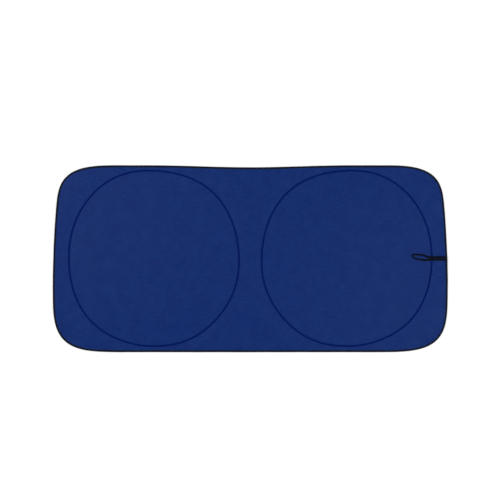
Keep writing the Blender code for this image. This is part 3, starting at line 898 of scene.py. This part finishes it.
def make_bar_tack():
    """Close stitches across the elastic's ends, through the edge tape."""
    across = WIDTH / 2 - side_sag(LOOP_SEAT_HEIGHT) - TACK_INSET
    up = LOOP_SEAT_HEIGHT + np.linspace(-LOOP_FLAT, LOOP_FLAT, TACK_STITCHES)
    centres = np.column_stack([np.full(TACK_STITCHES, across), up, np.zeros(TACK_STITCHES)])
    centres[:, 2] = CLOTH_MIDDLE + TACK_HEIGHT + LOOP_LIFT + cloth_lift(centres[:, :2])
    lean = np.where(np.arange(TACK_STITCHES) % 2, TACK_LEAN, -TACK_LEAN)
    ways = np.stack([np.cos(lean), np.sin(lean)], axis=1)
    return stitch_mesh("loop_bar_tack", centres, ways, TACK_LENGTH, BLACK_THREAD)


# Floor and light

def make_floor():
    made = bpy.data.materials.new("floor")
    made.use_nodes = True
    tree = made.node_tree
    tree.nodes.clear()
    matt = add(tree, "ShaderNodeBsdfDiffuse", inputs={"Color": (FLOOR_GREY, FLOOR_GREY, FLOOR_GREY, 1.0)})
    glow = add(tree, "ShaderNodeEmission", inputs={"Color": WHITE, "Strength": FLOOR_GLOW})
    rays = add(tree, "ShaderNodeLightPath")
    away = add(tree, "ShaderNodeVectorMath", {"operation": "LENGTH"}, {0: cloth_place(tree)}).outputs["Value"]
    near, far = FLOOR_GLOW_FADE
    fade = {0: away, 1: near, 2: far, 3: 0.5, 4: 1.0}
    faded = add(tree, "ShaderNodeMapRange", {"clamp": True}, fade).outputs[0]
    share = maths(tree, "MULTIPLY", rays.outputs["Is Camera Ray"], faded)
    both = add(tree, "ShaderNodeMixShader", inputs={0: share, 1: matt.outputs[0], 2: glow.outputs[0]})
    out = add(tree, "ShaderNodeOutputMaterial", inputs={0: both.outputs[0]})
    out.is_active_output = True
    half = 30.0
    corners = [(-half, -half, 0.0), (half, -half, 0.0), (half, half, 0.0), (-half, half, 0.0)]
    floor = make_object("floor", corners, [(0, 1, 2, 3)], [made])


def make_world():
    world = bpy.data.worlds.new("studio")
    world.use_nodes = True
    bpy.context.scene.world = world
    tree = world.node_tree
    tree.nodes.clear()
    dim = add(tree, "ShaderNodeBackground", inputs={"Color": WHITE, "Strength": WORLD_LEVEL})
    white = add(tree, "ShaderNodeBackground", inputs={"Color": WHITE, "Strength": 1.0})
    rays = add(tree, "ShaderNodeLightPath")
    both = add(tree, "ShaderNodeMixShader", inputs={0: rays.outputs["Is Camera Ray"], 1: dim.outputs[0],
                                                    2: white.outputs[0]})
    add(tree, "ShaderNodeOutputWorld", inputs={0: both.outputs[0]})


def make_lamp(name, place, size, power):
    data = bpy.data.lights.new(name, "AREA")
    data.shape = "RECTANGLE"
    data.size, data.size_y = size
    data.energy = power
    lamp = bpy.data.objects.new(name, data)
    bpy.context.scene.collection.objects.link(lamp)
    lamp.location = place
    lamp.rotation_euler = (-Vector(place)).to_track_quat("-Z", "Y").to_euler()


make_camera()
BLUE = blue_cloth()
SILVER = silver_back()
BLACK_TAPE = ribbed_tape("black_tape", EDGE_DARK, EDGE_LIGHT, 0.0009, 0.0007, 0.06)
NAVY_TAPE = ribbed_tape("navy_tape", NAVY_DARK, NAVY_LIGHT, 0.0008, 0.0006, 0.02)
ELASTIC = ribbed_tape("black_elastic", BLACK_DARK, BLACK_LIGHT, 0.0008, 0.0005, 0.06)
BLACK_THREAD = thread_material("black_thread", BLACK_DARK, BLACK_THREAD_LIGHT)
NAVY_THREAD = thread_material("navy_thread", NAVY_DARK, NAVY_THREAD_LIGHT)
STEEL = wire_material()
make_elastic()
panel, flat_size, flat_area = make_panel()
tape = make_edge_tape()
for up in (1.0, -1.0):
    edge_seam(up)
for name, side in (("left", -1), ("right", 1)):
    make_wire(name, side)
    make_casing(name, side)
    for up in (1.0, -1.0):
        casing_seams(name, side, up)
    bpy.data.objects[f"{name}_ferrule"].material_slots[0].material = STEEL
make_bar_tack()
make_floor()
make_world()
make_lamp("key", (-1.6, 0.5, 2.5), (2.0, 1.5), 35.6)
make_lamp("fill", (1.6, -0.4, 2.5), (2.4, 1.7), 36.6)
bpy.context.scene.view_settings.view_transform = "Standard"
